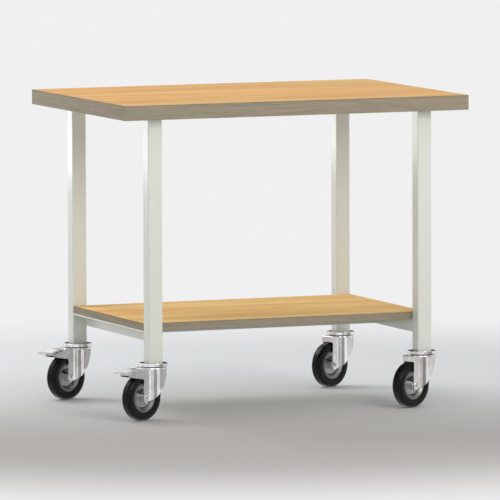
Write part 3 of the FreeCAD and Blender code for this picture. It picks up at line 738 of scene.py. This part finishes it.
def band(nodes, angle, centre, half_width, blur):
    """1 within half a width of a centre, 0 outside, with blurred borders. All are in radians."""
    away = nodes.maths("ABSOLUTE", nodes.maths("WRAP", angle - centre, math.pi, -math.pi))
    return 1.0 - nodes.step(away, half_width - blur / 2, half_width + blur / 2)


def set_world():
    """An even pale room for light, with the pale backdrop where it is seen or mirrored.

    What metal mirrors has soft grey gaps between the white panels, given by their angle about Z.
    """
    world = bpy.data.worlds.new("studio")
    bpy.context.scene.world = world
    world.use_nodes = True
    w = Nodes(world.node_tree)
    light = w.tree.nodes["Background"]
    light.inputs["Color"].default_value = AMBIENT_TONE
    light.inputs["Strength"].default_value = AMBIENT
    direction = w.node("TexCoord", output="Generated")
    x, y, z = w.split(direction)
    angle = w.maths("ARCTAN2", y, x)
    gaps = 0.0
    for *degrees, depth in PANEL_GAPS:
        gap = band(w, angle, *(math.radians(value) for value in degrees))
        gaps = w.maths("MAXIMUM", gaps, gap * depth)
    level = w.maths("ABSOLUTE", z + GAP_DROP)
    panels = 1.0 - gaps * (1.0 - w.step(level, *GAP_FADE))
    room = w.node("Background", {"Color": w.scaled(BACKDROP[:3], panels), "Strength": 1.0})
    backdrop = w.node("Background", {"Color": BACKDROP, "Strength": 1.0})
    seen = w.node("MixShader", {0: w.ray("Camera"), 1: Signal(w, light.outputs[0]), 2: backdrop})
    mirrored = w.node("MixShader", {0: w.ray("Glossy", "Transmission"), 1: seen, 2: room})
    w.feed(w.tree.nodes["World Output"].inputs["Surface"], mirrored)


def set_floor():
    """A round pale floor, darker towards the front as painted shade, which turns into the backdrop away from
    the table.

    Mirrored rays pass through it to the room behind.
    """
    f = Finish("studio_floor", Roughness=0.7, Specular_IOR_Level=0.1)
    point = f.place()
    x, y, _ = f.split(point)
    yaw = math.radians(CAMERA_YAW)
    depth = x * math.sin(yaw) + y * math.cos(yaw)
    radius = (x * x + y * y) ** 0.5
    cloud = f.noise(point, (1.3, 1.3, 1.3), 2.0)
    # Painted shade: the floor is darker towards the camera, for the table's shadow and the light's falloff.
    near_colour = f.mix(f.step(depth, *FLOOR_DEPTHS), FLOOR_FRONT_SHADE, FLOOR_REAR)
    f.feed(f.shader.inputs["Base Color"], f.scaled(near_colour, 0.98 + cloud * 0.04))
    glow = f.node("Emission", {"Color": BACKDROP, "Strength": 1.0})
    mixed = f.node("MixShader", {0: f.step(radius, *FLOOR_FADE), 1: Signal(f, f.shader.outputs[0]), 2: glow})
    clear = f.node("BsdfTransparent")
    f.feed(f.tree.nodes["Material Output"].inputs["Surface"],
           f.node("MixShader", {0: f.ray("Glossy", "Transmission"), 1: mixed, 2: clear}))
    angle = np.linspace(0, 2 * np.pi, FLOOR_SIDES, endpoint=False)
    r, a = np.meshgrid(FLOOR_RADII, angle, indexing="ij")
    flat = np.stack([r * np.cos(a), r * np.sin(a), np.zeros_like(r)], axis=-1)
    points, faces = closed_grid(flat, cap_end=False)
    mesh = bpy.data.meshes.new("floor")
    mesh.from_pydata(points.tolist(), [], [face[::-1] for face in faces])
    mesh.materials.append(f.material)
    floor = add_object("floor", mesh)


# ---------------------------------------------------------------- dressing the frame
def make_finishes():
    """Every finish, under the first part of the names of the nodes that take it."""
    zinc = zinc_sheet("zinc_sheet", *ZINC_TONES, 0.13)
    # The pedal: a slightly lighter copy of the zinc as painted light, with edges darkened as painted shade.
    lit_pedal_zinc = zinc_sheet("pedal_zinc", tone(250, 249, 248), tone(230, 229, 228), 0.2, tone(74, 71, 68), 0.85)
    paint = powder_coat()
    bolts = zinc_sheet("fastener_steel", tone(224, 223, 221), tone(196, 194, 190), 0.16)
    ground = ground_steel()
    finishes = {
        "worktop": beech_multiplex("beech_worktop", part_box("worktop")[1].z),
        # The shelf's veneer is 1.12 times lighter as painted light, for the light that the worktop keeps
        # from it.
        "lower_shelf": beech_multiplex("beech_shelf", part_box("lower_shelf")[1].z, 1.12),
        "leg_": paint, "top_bar": paint, "shelf_rail": paint, "shelf_cross_rail": paint,
        "fork": zinc, "brake_pedal": lit_pedal_zinc,
        "axle_bolt": bolts, "worktop_screws": bolts, "shelf_screws": bolts, "kingpin_bolts": bolts,
        "pivot_pin": bolts, "leg_plugs": ground, "kingpin_bushes": ground, "bearing_balls": ground,
        "axle_sleeve": ground, "wheel_bearing": ground, "brake_shoe": brake_rubber(),
    }
    for corner in CORNERS:
        finishes["wheel_rim_" + corner] = rim_steel(corner)
        finishes["tyre_" + corner] = tyre_rubber(corner)
        axis, _ = joint("swivel_" + corner)
        low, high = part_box("swivel_head_" + corner)
        inner = (high.x - low.x) / 2 - SHEET
        # Inside the dish, under the leg's foot: oil and painted shade.
        oiled_and_shaded = ((axis[0], axis[1], 0.0), inner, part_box("leg_" + corner)[0].z)
        finishes["swivel_head_" + corner] = zinc_sheet("dish_zinc_" + corner, *ZINC_TONES, 0.13, oiled_and_shaded=oiled_and_shaded)
    return finishes


def dress_nodes(finishes):
    """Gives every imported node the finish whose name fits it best."""
    for name, node in frame["nodes"].items():
        prefix = max((key for key in finishes if name.startswith(key)), key=len)
        for slot in node.material_slots:
            slot.material = finishes[prefix]


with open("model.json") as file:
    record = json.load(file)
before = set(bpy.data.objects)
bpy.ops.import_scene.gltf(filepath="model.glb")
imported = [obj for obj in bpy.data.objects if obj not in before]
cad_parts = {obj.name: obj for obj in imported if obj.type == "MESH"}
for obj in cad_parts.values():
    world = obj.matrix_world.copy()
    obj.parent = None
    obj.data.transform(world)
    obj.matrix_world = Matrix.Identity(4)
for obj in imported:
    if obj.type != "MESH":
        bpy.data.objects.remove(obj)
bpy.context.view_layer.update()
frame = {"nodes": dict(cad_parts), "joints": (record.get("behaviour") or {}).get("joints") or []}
bpy.context.scene.view_settings.view_transform = "Standard"
set_camera()
for lamp in SOFTBOXES:
    softbox(*lamp)
set_world()
set_floor()
finishes = make_finishes()
dress_nodes(finishes)
for corner in CORNERS:
    axle_fasteners(corner, finishes["axle_bolt"])
pan_screws("worktop_screws", finishes["worktop_screws"])
pan_screws("shelf_screws", finishes["shelf_screws"])
weld_beads(finishes["leg_"])
